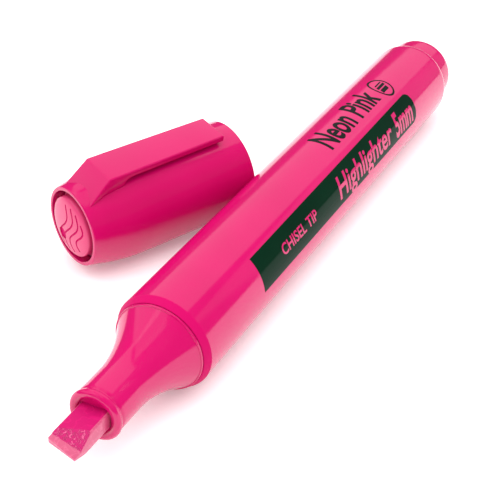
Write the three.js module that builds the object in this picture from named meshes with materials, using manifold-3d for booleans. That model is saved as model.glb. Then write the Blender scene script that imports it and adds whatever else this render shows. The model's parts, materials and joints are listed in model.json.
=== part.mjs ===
// A chisel-tip highlighter with its cap off, both lying on a flat surface.
// Millimetres, +Z up. The pen lies along X with its nib towards -X; the cap lies beside it.
// Every round piece is drawn as a profile of [station, radius] pairs along its own axis.
// On the pen a station is the distance back from the nib's tip; on the cap it is the distance
// from the closed end towards the mouth.

import * as THREE from 'three';
import { mergeVertices } from 'three/addons/utils/BufferGeometryUtils.js';
import Module from 'manifold-3d';

const wasm = await Module();
wasm.setup();

// ---------- Driving dimensions, mm ----------

const FIT_GAP = 0.3; // clearance between two pieces that touch
const SEGMENTS = 48; // facets round the pen and the cap
const FINE_SEGMENTS = 32; // facets round the small pieces

// Barrel
const BARREL_RADIUS = 8.5;
const BARREL_LENGTH = 105;
const BARREL_WALL = 1.3;
const COLLAR_CHAMFER = 1; // length of the cone at the barrel's front edge
const COLLAR_STEP = 0.55; // how far that cone drops below the barrel
const SHOULDER_LENGTH = 1.6; // rounded rear shoulder
const RIB_COUNT = 6; // ribs inside that centre the reservoir
const RIB_WIDTH = 0.9;
const RIB_HEIGHT = 0.5;

// Front section
const NOSE_LENGTH = 18.2; // from the mouth's lip to the flange's rear face
const NECK_WALL = 1.12; // between the neck's surface and the mouth that the nib comes out of
const FLANGE_SETBACK = 0.2; // of the flange's rim from the collar's front edge
const FLANGE_STEP = 0.2; // from the flange's rim in to the nose behind it
const FLANGE_LENGTH = 0.4;
const FLARE_POWER = 2; // how late the flare opens out
const NECK_LENGTH = 6.7; // straight neck behind the lip
const LIP_RADIUS = 0.62; // of the rolled lip's section
const LIP_RISE = 0.32; // how far the lip stands proud of the neck
const NOSE_PLUG_LENGTH = 9.5; // the part pushed into the barrel
const NOSE_PLUG_WALL = 1.3;

// Nib
const NIB_REACH = 8.3; // from the lip to the writing edge's forward corner
const NIB_WIDTH = 5;
const NIB_THICKNESS = 3.1;
const NIB_SOCKET_DEPTH = 8; // how far the nib's rear end reaches into the reservoir
const NIB_CORNER = 0.5;
const NIB_SKEW = 11.3; // degrees the writing edge runs back across the nib
const NIB_EDGE_HEIGHT = -0.15; // of the edge's forward corner above the nib's middle plane
const NIB_EDGE_THICKNESS = 0.3;
const NIB_LAND = 1.6; // length of the narrow flat behind the writing edge
// The tip's three faces: how steeply each rises towards the tail, and how it tilts across the nib
const NIB_LAND_FACE = { slope: 3, tilt: 12.6 };
const NIB_CUT_FACE = { slope: 28.7, tilt: 10.3 };
const NIB_UNDER_FACE = { slope: -15.8, tilt: 9.4 };

// Reservoir
const RESERVOIR_SETBACK = 0.6; // gap between the front section's rear end and the reservoir
const RESERVOIR_END_GAP = 6.2; // air space between the reservoir and the tail plug's seat
const FILM_THICKNESS = 0.4;
const FILM_RELIEF = 0.5; // how much the core shows at each end of the film

// Tail plug
const TAIL_STEP = 1.4; // from the barrel's surface in to the plug's head
const TAIL_LENGTH = 6.2; // of the visible head
const TAIL_ROUND = 2;
const TAIL_STEM_LENGTH = 6;
const TAIL_SEAT_WALL = 2.4; // the barrel's thicker wall round the plug's stem
const TAIL_WALL = 1.4;

// Cap
const CAP_LENGTH = 34.3;
const CAP_WALL = 0.9;
const CAP_CLEARANCE = 0.35; // between the cap's bore and the front section's flange
const CAP_TAPER_LENGTH = 11; // curved stretch behind the closed end
const RIM_WIDTH = 0.7; // flat ring of the closed end
const RIM_BORE_LENGTH = 4; // straight bore behind that ring

// Inner cap: the domed button at the closed end and the cup that seals round the nib
const BUTTON_GROOVE = 1.05; // width of the groove round the dome
const BUTTON_RISE = 1.1; // how far the dome stands out of the closed end
const BUTTON_SET = 2.2; // depth of the groove round the dome
const BUTTON_FLANGE = 1.2; // thickness of the disc at the bottom of that groove
const CUP_WALL = 1;
const CUP_TO_RIM = 0.9; // between the cup and the closed end's bore
const CUP_OVERLAP = 4.6; // how far the cup reaches past the lip when the cap is on
const CUP_RIB_COUNT = 4;
const CUP_RIB_START = 11;
const CUP_RIB_LENGTH = 7;
const CUP_RIB_WIDTH = 1;

// Pocket clip
const CLIP_ROOT_WIDTH = 7.4;
const CLIP_END_WIDTH = 6.6;
const CLIP_THICKNESS = 1.1;
const CLIP_CLEARANCE = 0.55; // between the cap and the clip's underside
const CLIP_START = 1.4; // station of the ramp's foot
const CLIP_RAMP_LENGTH = 3.85;
const RAMP_FOOT_DROP = 0.5; // of the ramp's foot below the closed end's rim
const CLIP_ROOT_LENGTH = 3; // solid root behind the ramp
const CLIP_END_INSET = 4; // from the clip's free end to the cap's mouth

// How the two lie
const CAP_MOUTH_STATION = 79.3; // how far back along the pen the cap's mouth lies
const CAP_YAW = 23.8; // degrees between the cap's axis and the pen's
const CLIP_LEAN = 8.7; // degrees the clip leans from straight up, towards the pen
const LAY_GAP = 0.3; // between the cap's mouth and the barrel

// ---------- Worked-out dimensions ----------

// The mouth clears the nib's rounded corners.
const nibCornerReach = NIB_CORNER
  + Math.hypot(NIB_WIDTH / 2 - NIB_CORNER, NIB_THICKNESS / 2 - NIB_CORNER);
const mouthRadius = nibCornerReach + FIT_GAP;
const neckRadius = mouthRadius + NECK_WALL;

const flangeRadius = BARREL_RADIUS - COLLAR_STEP - FLANGE_SETBACK;
const noseBaseRadius = flangeRadius - FLANGE_STEP;
const lipStation = NIB_REACH;
const flangeStation = lipStation + NOSE_LENGTH;
const barrelFront = flangeStation + FIT_GAP;
const barrelRear = barrelFront + BARREL_LENGTH;
const barrelBore = BARREL_RADIUS - BARREL_WALL;
const nosePlugRadius = barrelBore - FIT_GAP;
const nosePlugBore = nosePlugRadius - NOSE_PLUG_WALL;
const nosePlugRear = flangeStation + NOSE_PLUG_LENGTH;
const flareStart = lipStation + NECK_LENGTH;
const flareEnd = flangeStation - FLANGE_LENGTH;

const tailSeatRadius = BARREL_RADIUS - TAIL_SEAT_WALL;
const tailSeatFront = barrelRear - TAIL_STEM_LENGTH - FIT_GAP;
const tailStemRadius = tailSeatRadius - FIT_GAP;
const tailRadius = BARREL_RADIUS - TAIL_STEP;
const tailFront = barrelRear + FIT_GAP;
const tailEnd = tailFront + TAIL_LENGTH;

const reservoirFront = nosePlugRear + RESERVOIR_SETBACK;
const reservoirRear = tailSeatFront - RESERVOIR_END_GAP;
const nibLength = reservoirFront + NIB_SOCKET_DEPTH;
const filmRadius = barrelBore - RIB_HEIGHT - FIT_GAP;
const coreRadius = filmRadius - FILM_THICKNESS - FIT_GAP;

const capBore = flangeRadius + CAP_CLEARANCE;
const capRadius = capBore + CAP_WALL;
const lipOuterRadius = neckRadius + LIP_RISE;
const cupBore = lipOuterRadius + FIT_GAP;
const cupRadius = cupBore + CUP_WALL;
const rimBore = cupRadius + CUP_TO_RIM; // the closed end closes round the inner cap
const rimRadius = rimBore + RIM_WIDTH;
const buttonRadius = rimBore - BUTTON_GROOVE;
const collarSeat = barrelFront; // where the cap's mouth stops on the pen
const nibInCap = CAP_LENGTH - collarSeat; // station in the cap of the nib's tip, cap on
const cupEnd = nibInCap + lipStation + CUP_OVERLAP;

const clipTop = capRadius + CLIP_CLEARANCE + CLIP_THICKNESS;
const clipUnderside = capRadius + CLIP_CLEARANCE;
const clipRootEnd = CLIP_START + CLIP_RAMP_LENGTH + CLIP_ROOT_LENGTH;
const clipEnd = CAP_LENGTH - CLIP_END_INSET;

// ---------- Solids ----------

// A closed geometry becomes a solid, with its faces turned outwards.
function solid(geometry) {
  const bare = geometry.index ? geometry.clone() : geometry;
  bare.deleteAttribute('normal');
  bare.deleteAttribute('uv');
  const merged = mergeVertices(bare, 1e-4);
  const vertices = merged.attributes.position.array;
  const corners = [];
  for (let i = 0; i < merged.index.count; i += 3) {
    const [a, b, c] = [0, 1, 2].map((k) => merged.index.getX(i + k));
    if (a !== b && b !== c && c !== a) corners.push(a, b, c);
  }
  if (signedVolume(vertices, corners) < 0) corners.reverse();
  return new wasm.Manifold(new wasm.Mesh({
    numProp: 3,
    vertProperties: new Float32Array(vertices),
    triVerts: new Uint32Array(corners),
  }));
}

function signedVolume(vertices, corners) {
  const corner = (i) => new THREE.Vector3().fromArray(vertices, corners[i] * 3);
  let volume = 0;
  for (let i = 0; i < corners.length; i += 3) {
    volume += corner(i).dot(corner(i + 1).cross(corner(i + 2))) / 6;
  }
  return volume;
}

function geometryOf(manifold) {
  const { vertProperties, triVerts } = manifold.getMesh();
  const geometry = new THREE.BufferGeometry();
  geometry.setAttribute('position', new THREE.BufferAttribute(vertProperties, 3));
  geometry.setIndex(new THREE.BufferAttribute(triVerts, 1));
  return geometry;
}

// Turns a closed profile of [station, radius] pairs about the X axis. A flat facet faces down.
function turned(profile, segments = SEGMENTS) {
  const outline = profile.map(([station, radius]) => new THREE.Vector2(radius, station));
  if (profile[0][1] > 0) outline.push(outline[0].clone());
  const geometry = new THREE.LatheGeometry(outline, segments);
  geometry.rotateY(Math.PI / segments);
  geometry.rotateZ(-Math.PI / 2);
  return solid(geometry);
}

// Extrudes an outline of [x, z] pairs across Y, centred on the X axis.
function sideExtrusion(outline, width) {
  const shape = new THREE.Shape(outline.map(([x, z]) => new THREE.Vector2(x, z)));
  const geometry = new THREE.ExtrudeGeometry(shape, { depth: width, bevelEnabled: false });
  geometry.rotateX(Math.PI / 2);
  geometry.translate(0, width / 2, 0);
  return solid(geometry);
}

// A box given by its lowest and highest corners, turned about the X axis.
function box(low, high, turn = 0) {
  const size = high.map((value, axis) => value - low[axis]);
  const geometry = new THREE.BoxGeometry(...size);
  geometry.translate(...low.map((value, axis) => value + size[axis] / 2));
  geometry.rotateX(turn);
  return solid(geometry);
}

// Thin plates set round the X axis, from one radius out to another.
function ribs(count, { from, to, inner, outer, width }, firstTurn = 0) {
  const plates = [];
  for (let i = 0; i < count; i += 1) {
    const turn = firstTurn + (i * 2 * Math.PI) / count;
    plates.push(box([from, -width / 2, inner], [to, width / 2, outer], turn));
  }
  return plates;
}

// Points on a circular arc as [station, radius] pairs; angles in degrees from the +X direction.
function arc(station, radius, size, start, end, steps) {
  return Array.from({ length: steps + 1 }, (_, i) => {
    const angle = THREE.MathUtils.degToRad(start + ((end - start) * i) / steps);
    return [station + size * Math.cos(angle), radius + size * Math.sin(angle)];
  });
}

function named(name, manifold, colour, roughness) {
  const material = new THREE.MeshStandardMaterial({ color: colour, roughness, metalness: 0 });
  const mesh = new THREE.Mesh(geometryOf(manifold), material);
  mesh.name = name;
  return mesh;
}

// ---------- Pen ----------

function barrel() {
  const front = barrelFront;
  const shoulderDrop = BARREL_RADIUS - tailRadius - FIT_GAP;
  const shoulder = Array.from({ length: 5 }, (_, i) => {
    const angle = (i / 4) * (Math.PI / 2);
    return [
      barrelRear - SHOULDER_LENGTH * (1 - Math.sin(angle)),
      BARREL_RADIUS - shoulderDrop * (1 - Math.cos(angle)),
    ];
  });
  let body = turned([
    [front, barrelBore],
    [front, BARREL_RADIUS - COLLAR_STEP],
    [front + COLLAR_CHAMFER, BARREL_RADIUS],
    ...shoulder,
    [barrelRear, tailSeatRadius],
    [tailSeatFront, tailSeatRadius],
    [tailSeatFront - (barrelBore - tailSeatRadius), barrelBore],
  ]);
  const ribSpan = {
    from: reservoirFront,
    to: reservoirRear,
    inner: barrelBore - RIB_HEIGHT,
    outer: barrelBore + BARREL_WALL / 2,
    width: RIB_WIDTH,
  };
  for (const rib of ribs(RIB_COUNT, ribSpan)) body = body.add(rib);
  return named('barrel', body, 0xf0186c, 0.25);
}

// The flare's radius at a station: a trumpet curve from the neck to the base.
function flareRadius(station) {
  const share = (station - flareStart) / (flareEnd - flareStart);
  return neckRadius + (noseBaseRadius - neckRadius) * share ** FLARE_POWER;
}

function noseSection() {
  const lipCentre = neckRadius + LIP_RISE - LIP_RADIUS;
  const flareSteps = 9;
  const flare = Array.from({ length: flareSteps + 1 }, (_, i) => {
    const station = flareStart + ((flareEnd - flareStart) * i) / flareSteps;
    return [station, flareRadius(station)];
  });
  const boreEnd = flareStart + NECK_LENGTH / 2;
  let body = turned([
    [lipStation + LIP_RADIUS, mouthRadius],
    ...arc(lipStation + LIP_RADIUS, lipCentre, LIP_RADIUS, 180, 45, 5),
    [lipStation + 3 * LIP_RADIUS, neckRadius],
    ...flare,
    [flareEnd, flangeRadius - FIT_GAP / 2],
    [flareEnd + FIT_GAP / 2, flangeRadius],
    [flangeStation, flangeRadius],
    [flangeStation, nosePlugRadius],
    [nosePlugRear, nosePlugRadius],
    [nosePlugRear, nosePlugBore],
    [flangeStation, nosePlugBore],
    [boreEnd, mouthRadius],
  ]);
  // Four plates hold the nib in the middle and leave air paths between them.
  const plateInner = { flat: NIB_THICKNESS / 2 + FIT_GAP, side: NIB_WIDTH / 2 + FIT_GAP };
  const plate = {
    from: boreEnd + 1,
    to: nosePlugRear - 1,
    outer: nosePlugBore + NOSE_PLUG_WALL / 2,
    width: RIB_WIDTH,
  };
  const insideOfNose = turned([
    [0, 0], [0, FIT_GAP], ...flare.map(([s, r]) => [s, r - FIT_GAP]),
    [flangeStation, nosePlugRadius - FIT_GAP], [nosePlugRear, nosePlugRadius - FIT_GAP], [nosePlugRear, 0],
  ]);
  const plates = [
    ...ribs(2, { ...plate, inner: plateInner.flat }),
    ...ribs(2, { ...plate, inner: plateInner.side }, Math.PI / 2),
  ];
  for (const rib of plates) body = body.add(rib.intersect(insideOfNose));
  return named('nose_section', body, 0xf0186c, 0.25);
}

// A large block whose one face is a plane through a point, with the material behind that face.
function halfSpace(point, normal) {
  const size = 4 * nibLength;
  const geometry = new THREE.BoxGeometry(size, size, size);
  geometry.translate(0, 0, -size / 2);
  const turn = new THREE.Quaternion();
  turn.setFromUnitVectors(new THREE.Vector3(0, 0, 1), new THREE.Vector3(...normal).normalize());
  geometry.applyQuaternion(turn);
  geometry.translate(...point);
  return solid(geometry);
}

// The normal of a face that rises along X and across Y at the given angles; side is 1 for up.
function faceNormal({ slope, tilt }, side) {
  const rise = (angle) => Math.tan(THREE.MathUtils.degToRad(angle));
  return [-side * rise(slope), -side * rise(tilt), side];
}

function nib() {
  const half = NIB_THICKNESS / 2;
  const rearTaper = NIB_THICKNESS / 2;
  const slab = sideExtrusion([
    [-1, -half],
    [-1, half],
    [nibLength - rearTaper, half],
    [nibLength, half / 2],
    [nibLength, -half / 2],
    [nibLength - rearTaper, -half],
  ], NIB_WIDTH + 1);
  // The writing edge runs from a forward corner back and up across the nib.
  const corner = (station, height) => [station, -NIB_WIDTH / 2, height];
  const landEnd = NIB_EDGE_HEIGHT + NIB_LAND * Math.tan(THREE.MathUtils.degToRad(NIB_LAND_FACE.slope));
  const skew = Math.tan(THREE.MathUtils.degToRad(NIB_SKEW));
  const tip = [
    halfSpace(corner(0, NIB_EDGE_HEIGHT), [-1, skew, 0]),
    halfSpace(corner(0, NIB_EDGE_HEIGHT), faceNormal(NIB_LAND_FACE, 1)),
    halfSpace(corner(NIB_LAND, landEnd), faceNormal(NIB_CUT_FACE, 1)),
    halfSpace(corner(0, NIB_EDGE_HEIGHT - NIB_EDGE_THICKNESS), faceNormal(NIB_UNDER_FACE, -1)),
  ];
  // Ahead of the cut's foot only the flat cuts the nib, behind it only the slanted cut does.
  const [front, land, cut, under] = tip;
  const top = cut.add(land.intersect(halfSpace(corner(NIB_LAND, 0), [1, -skew, 0])));
  const body = [front, top, under].reduce((rest, face) => rest.intersect(face), slab.intersect(nibSection()));
  return named('nib', body, 0xe02a78, 0.85);
}

// The nib's rounded section, run along the whole nib.
function nibSection() {
  const [w, h, c] = [NIB_WIDTH / 2, NIB_THICKNESS / 2, NIB_CORNER];
  const section = new THREE.Shape();
  section.moveTo(-w + c, -h);
  section.lineTo(w - c, -h);
  section.absarc(w - c, -h + c, c, -Math.PI / 2, 0);
  section.absarc(w - c, h - c, c, 0, Math.PI / 2);
  section.absarc(-w + c, h - c, c, Math.PI / 2, Math.PI);
  section.absarc(-w + c, -h + c, c, Math.PI, 1.5 * Math.PI);
  const settings = { depth: nibLength + 2, bevelEnabled: false, curveSegments: 3 };
  const geometry = new THREE.ExtrudeGeometry(section, settings);
  geometry.rotateX(Math.PI / 2);
  geometry.rotateZ(Math.PI / 2);
  geometry.translate(-1, 0, 0);
  return solid(geometry);
}

function reservoirCore() {
  const rear = reservoirRear;
  const chamfer = FILM_THICKNESS;
  const rod = turned([
    [reservoirFront, 0],
    [reservoirFront, coreRadius - chamfer],
    [reservoirFront + chamfer, coreRadius],
    [rear - chamfer, coreRadius],
    [rear, coreRadius - chamfer],
    [rear, 0],
  ], FINE_SEGMENTS);
  const halfWidth = NIB_WIDTH / 2 + FIT_GAP;
  const halfHeight = NIB_THICKNESS / 2 + FIT_GAP;
  const socket = box(
    [reservoirFront - 1, -halfWidth, -halfHeight],
    [nibLength + FIT_GAP, halfWidth, halfHeight],
  );
  return named('reservoir_core', rod.subtract(socket), 0xd81b66, 0.95);
}

function reservoirFilm() {
  const front = reservoirFront + FILM_RELIEF;
  const rear = reservoirRear - FILM_RELIEF;
  const sleeve = turned([
    [front, coreRadius + FIT_GAP],
    [front, filmRadius],
    [rear, filmRadius],
    [rear, coreRadius + FIT_GAP],
  ], FINE_SEGMENTS);
  return named('reservoir_film', sleeve, 0xf4c6d8, 0.3);
}

function tailPlug() {
  const stemFront = barrelRear - TAIL_STEM_LENGTH;
  const bore = tailStemRadius - TAIL_WALL;
  const head = arc(tailEnd - TAIL_ROUND, tailRadius - TAIL_ROUND, TAIL_ROUND, 90, 0, 4);
  const plug = turned([
    [tailEnd - TAIL_WALL, 0],
    [tailEnd - TAIL_WALL, bore],
    [stemFront, bore],
    [stemFront, tailStemRadius],
    [tailFront, tailStemRadius],
    [tailFront, tailRadius],
    ...head,
    [tailEnd, 0],
  ]);
  return named('tail_plug', plug, 0xf0186c, 0.25);
}

// ---------- Cap ----------

// The cap's outline from the closed end to the mouth: a quarter of an ellipse, then a cylinder.
function capOutline() {
  const steps = 7;
  const taper = Array.from({ length: steps + 1 }, (_, i) => {
    const share = i / steps;
    const rise = (capRadius - rimRadius) * Math.sin((share * Math.PI) / 2);
    return [CAP_TAPER_LENGTH * share, rimRadius + rise];
  });
  return [...taper, [CAP_LENGTH, capRadius]];
}

// The bore follows that outline one wall inside it, from the straight bore behind the closed end.
function capBoreOutline() {
  const inside = capOutline().filter(([station]) => station > RIM_BORE_LENGTH + CAP_WALL);
  const bore = inside.map(([station, radius]) => [station, radius - CAP_WALL]);
  return [[0, rimBore], [RIM_BORE_LENGTH, rimBore], ...bore];
}

function capShell() {
  const shell = turned([
    ...capOutline(),
    ...capBoreOutline().reverse(),
  ]);
  const root = sideExtrusion([
    [CLIP_START, 0],
    [CLIP_START, rimRadius - RAMP_FOOT_DROP],
    [CLIP_START + CLIP_RAMP_LENGTH, clipTop],
    [clipRootEnd, clipTop],
    [clipRootEnd, 0],
  ], CLIP_ROOT_WIDTH);
  const bore = turned([[0, 0], ...capBoreOutline(), [CAP_LENGTH, 0]]);
  return named('cap_shell', shell.add(root.subtract(bore)), 0xf0186c, 0.25);
}

function innerCap() {
  const dome = Array.from({ length: 6 }, (_, i) => {
    const angle = (i / 5) * (Math.PI / 2);
    return [-BUTTON_RISE * Math.cos(angle), buttonRadius * Math.sin(angle)];
  });
  const flangeRadius = rimBore - FIT_GAP;
  const flangeRear = BUTTON_SET + BUTTON_FLANGE;
  let body = turned([
    ...dome,
    [BUTTON_SET, buttonRadius],
    [BUTTON_SET, flangeRadius],
    [flangeRear, flangeRadius],
    [flangeRear, cupRadius],
    [cupEnd, cupRadius],
    [cupEnd, cupBore],
    [flangeRear, cupBore],
    [flangeRear, 0],
  ]);
  const ribSpan = {
    from: CUP_RIB_START,
    to: CUP_RIB_START + CUP_RIB_LENGTH,
    inner: cupRadius - CUP_WALL / 2,
    outer: capBore - FIT_GAP,
    width: CUP_RIB_WIDTH,
  };
  for (const rib of ribs(CUP_RIB_COUNT, ribSpan)) body = body.add(rib);
  return named('inner_cap', body, 0xe8307c, 0.35);
}

// A flat plate that narrows a little from the root to its free end.
function pocketClip() {
  const front = clipRootEnd + FIT_GAP;
  const plan = new THREE.Shape([
    new THREE.Vector2(front, -CLIP_ROOT_WIDTH / 2),
    new THREE.Vector2(clipEnd, -CLIP_END_WIDTH / 2),
    new THREE.Vector2(clipEnd, CLIP_END_WIDTH / 2),
    new THREE.Vector2(front, CLIP_ROOT_WIDTH / 2),
  ]);
  const settings = { depth: CLIP_THICKNESS, bevelEnabled: false };
  const geometry = new THREE.ExtrudeGeometry(plan, settings);
  geometry.translate(0, 0, clipUnderside);
  return named('pocket_clip', solid(geometry), 0xf0186c, 0.25);
}

// ---------- Assembly ----------

const pen = new THREE.Group();
pen.add(barrel(), noseSection(), nib(), reservoirCore(), reservoirFilm(), tailPlug());
const flatFacet = Math.cos(Math.PI / SEGMENTS);
pen.position.z = BARREL_RADIUS * flatFacet;

// The cap's own axis runs from its closed end to its mouth, and its clip stands at the top.
const cap = new THREE.Group();
cap.add(capShell(), innerCap(), pocketClip());
const yaw = THREE.MathUtils.degToRad(CAP_YAW);
cap.rotation.set(THREE.MathUtils.degToRad(CLIP_LEAN), 0, -yaw, 'ZYX');
cap.position.set(
  CAP_MOUTH_STATION - CAP_LENGTH * Math.cos(yaw),
  BARREL_RADIUS + LAY_GAP + capRadius * Math.cos(yaw) + CAP_LENGTH * Math.sin(yaw),
  capRadius,
);

// The origin is the middle of the whole object's footprint, on the surface it lies on.
const group = new THREE.Group();
group.add(pen, cap);
const extent = new THREE.Box3().setFromObject(group, true);
const middle = extent.getCenter(new THREE.Vector3());
for (const piece of [pen, cap]) piece.position.sub(new THREE.Vector3(middle.x, middle.y, extent.min.z));

export default group;
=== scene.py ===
# %% [markdown]
# # A chisel-tip highlighter with its cap off
# The pen lies along X with its nib towards -X, and the cap lies beside it with its clip on top.
# The frame holds the measured solids. Every piece below is made where the frame says, in metres,
# and takes over from its solid with finer edges, printed marks and real finishes.

# %% Load the frame
import json
import math

import bmesh
import bpy
from mathutils import Matrix, Vector

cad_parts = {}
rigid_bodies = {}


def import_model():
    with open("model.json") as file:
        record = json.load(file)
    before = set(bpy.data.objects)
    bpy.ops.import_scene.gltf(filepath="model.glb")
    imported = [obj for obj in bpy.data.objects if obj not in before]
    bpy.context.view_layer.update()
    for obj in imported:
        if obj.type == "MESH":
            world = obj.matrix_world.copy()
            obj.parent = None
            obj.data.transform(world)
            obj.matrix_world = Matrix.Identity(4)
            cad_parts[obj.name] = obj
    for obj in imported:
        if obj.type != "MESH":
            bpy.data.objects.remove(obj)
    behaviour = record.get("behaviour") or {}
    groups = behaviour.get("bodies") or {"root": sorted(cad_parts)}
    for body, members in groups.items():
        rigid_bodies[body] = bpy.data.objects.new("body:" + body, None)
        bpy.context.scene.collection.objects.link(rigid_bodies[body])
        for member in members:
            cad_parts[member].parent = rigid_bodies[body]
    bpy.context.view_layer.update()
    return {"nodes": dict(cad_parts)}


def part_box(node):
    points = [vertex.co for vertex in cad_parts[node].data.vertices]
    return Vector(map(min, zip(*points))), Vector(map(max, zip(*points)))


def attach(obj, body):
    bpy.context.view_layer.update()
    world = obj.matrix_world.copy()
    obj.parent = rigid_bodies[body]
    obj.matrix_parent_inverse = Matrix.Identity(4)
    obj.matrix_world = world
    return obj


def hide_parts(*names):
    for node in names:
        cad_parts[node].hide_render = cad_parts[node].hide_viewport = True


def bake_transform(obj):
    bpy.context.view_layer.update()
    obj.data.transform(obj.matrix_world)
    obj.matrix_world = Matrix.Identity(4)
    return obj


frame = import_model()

MM = 0.001

# %% [markdown]
# ## Where things are
# A round piece is easiest to describe by stations: distances in millimetres along its own axis,
# with a radius at each. The pen's stations start at the nib's forward corner and the cap's at its
# closed end. Each axis becomes a matrix that turns a (station, side, up) point into a real place,
# so a piece is drawn once, straight, and lands where its solid is.

# %% The pen's axis and the cap's axis
BARREL_R = 8.5
CAP_R = 9.0
CAP_LENGTH = 34.3
CAP_YAW = math.radians(23.8)
CLIP_LEAN = math.radians(8.7)

barrel_low, barrel_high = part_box("barrel")
nib_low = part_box("nib")[0]
pen_middle = (barrel_low + barrel_high) / 2
PEN = Matrix.Translation((nib_low.x, pen_middle.y, pen_middle.z)) @ Matrix.Scale(MM, 4)

shell_low, shell_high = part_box("cap_shell")
mouth = Vector((
    shell_high.x - CAP_R * MM * math.sin(CAP_YAW),
    shell_low.y + CAP_R * MM * math.cos(CAP_YAW),
    CAP_R * MM,
))
cap_turn = Matrix.Rotation(-CAP_YAW, 4, "Z") @ Matrix.Rotation(CLIP_LEAN, 4, "X")
cap_start = mouth - cap_turn.to_3x3() @ Vector((CAP_LENGTH * MM, 0, 0))
CAP = Matrix.Translation(cap_start) @ cap_turn @ Matrix.Scale(MM, 4)
print("pen axis from", [round(v / MM, 2) for v in PEN.translation],
      "cap axis from", [round(v / MM, 2) for v in CAP.translation])

# %% [markdown]
# ## Camera and studio
# The object is seen from above its nib end with a moderately long lens, on a plain pale floor.
# Glossy plastic shows what is round it, so the studio matters as much as the paint: a wide soft
# panel behind and above gives the long soft highlight, the bright floor gives the pale lower edge,
# and the dim room between them keeps the pink deep. Two more panels light the floor and the colour
# but are kept out of the reflections. The room itself could be one even grey, but then either the
# shadows close up or the gloss turns milky. A Light Path node tells the two apart: the room is
# bright for what it lights and dim for what mirrors it.

# %% Camera
CAMERA_AT = Vector((-0.16495, -0.09427, 0.12378))
CAMERA_AIM = Vector((-0.01193, -0.01423, 0.008))
camera = bpy.data.objects.new("camera", bpy.data.cameras.new("camera"))
bpy.context.scene.collection.objects.link(camera)
camera.location = CAMERA_AT
camera.rotation_mode = "QUATERNION"
camera.rotation_quaternion = (CAMERA_AIM - CAMERA_AT).to_track_quat("-Z", "Y")
camera.data.lens = 86.66
camera.data.sensor_width = 36
camera.data.clip_start = 0.01
camera.data.clip_end = 20
bpy.context.scene.camera = camera
bpy.context.scene.view_settings.view_transform = "Standard"
print("camera lens", camera.data.lens, "mm")


# %% Soft light panels
def soft_panel(name, at, aim, size, power, in_reflections=True):
    """A rectangular soft light at a place, facing a point."""
    light = bpy.data.lights.new(name, "AREA")
    light.shape = "RECTANGLE"
    light.size, light.size_y = size
    light.energy = power
    panel = bpy.data.objects.new(name, light)
    bpy.context.scene.collection.objects.link(panel)
    panel.location = at
    panel.rotation_mode = "QUATERNION"
    panel.rotation_quaternion = (Vector(aim) - Vector(at)).to_track_quat("-Z", "Y")
    panel.visible_glossy = in_reflections
    return panel


soft_panel("softbox_behind", (0.75, 0.21, 0.75), (0, 0, 0), (1.34, 0.9), 2.9)
soft_panel("softbox_left", (-0.34, 0.70, 0.78), (0, 0, 0), (1.15, 1.1), 2.9)
soft_panel("softbox_above", (-0.05, 0.15, 1.1), (0, 0, 0), (0.75, 0.75), 1.0)
soft_panel("card_right", (0.98, -0.64, 0.36), (0, 0, 0), (0.58, 0.66), 0.36)
soft_panel("fill_above", (0.15, -0.45, 1.2), (0, 0, 0), (1.2, 1.2), 10, in_reflections=False)
soft_panel("fill_front", (-0.95, 0.1, 0.55), (0, 0, 0), (0.8, 0.8), 2.6, in_reflections=False)

# %% Room: bright as a light, dim in reflections
ROOM_LIGHT, ROOM_IN_GLOSS = 0.85, 0.1
world = bpy.data.worlds.new("room")
world.use_nodes = True
room = world.node_tree
ray = room.nodes.new("ShaderNodeLightPath")
dim = room.nodes.new("ShaderNodeMapRange")
dim.inputs["To Min"].default_value = ROOM_LIGHT
dim.inputs["To Max"].default_value = ROOM_IN_GLOSS
room.links.new(ray.outputs["Is Glossy Ray"], dim.inputs["Value"])
room.links.new(dim.outputs["Result"], room.nodes["Background"].inputs["Strength"])
room.nodes["Background"].inputs["Color"].default_value = (1, 1, 1, 1)
bpy.context.scene.world = world

# %% [markdown]
# ## Working by operators
# The pieces are modelled as by hand, with Blender's own tools. An operator works on everything
# selected, so each start clears the selection. The helpers below start a mesh from one point,
# run it along a profile, and close the work by joining doubles and turning the faces outwards.


# %% Helpers: start, edit and close a piece
DOUBLES = 2e-6


def deselect():
    """Leaves edit mode and clears the selection."""
    if bpy.context.object and bpy.context.object.mode != "OBJECT":
        bpy.ops.object.mode_set(mode="OBJECT")
    bpy.ops.object.select_all(action="DESELECT")


def take(piece):
    """Makes one piece the only selected and the active one."""
    deselect()
    piece.select_set(True)
    bpy.context.view_layer.objects.active = piece


def edit_all():
    """Goes into edit mode with everything selected."""
    bpy.ops.object.mode_set(mode="EDIT")
    bpy.ops.mesh.select_all(action="SELECT")


def start_at(name, point):
    """A new mesh object in edit mode that holds one point: a plane merged at its middle."""
    deselect()
    bpy.ops.mesh.primitive_plane_add(size=MM, location=point)
    bpy.context.object.name = name
    bpy.ops.object.mode_set(mode="EDIT")
    bpy.ops.mesh.select_mode(type="VERT")
    bpy.ops.mesh.merge(type="CENTER")
    return bpy.context.object


def run_along(points):
    """Extrudes the last point from place to place."""
    for here, there in zip(points[:-1], points[1:]):
        bpy.ops.mesh.extrude_region_move(TRANSFORM_OT_translate={"value": there - here})


def close_work(piece):
    """Joins doubles, faces the skin outwards, and puts the object's place into its mesh."""
    edit_all()
    bpy.ops.mesh.remove_doubles(threshold=DOUBLES)
    bpy.ops.mesh.normals_make_consistent(inside=False)
    bpy.ops.object.mode_set(mode="OBJECT")
    bpy.ops.object.transform_apply(location=True, rotation=True, scale=True)
    return piece


def smooth(piece, angle=30):
    """Shades a piece smooth, and keeps every edge sharper than the angle crisp."""
    take(piece)
    bpy.ops.object.shade_smooth_by_angle(angle=math.radians(angle))


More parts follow.
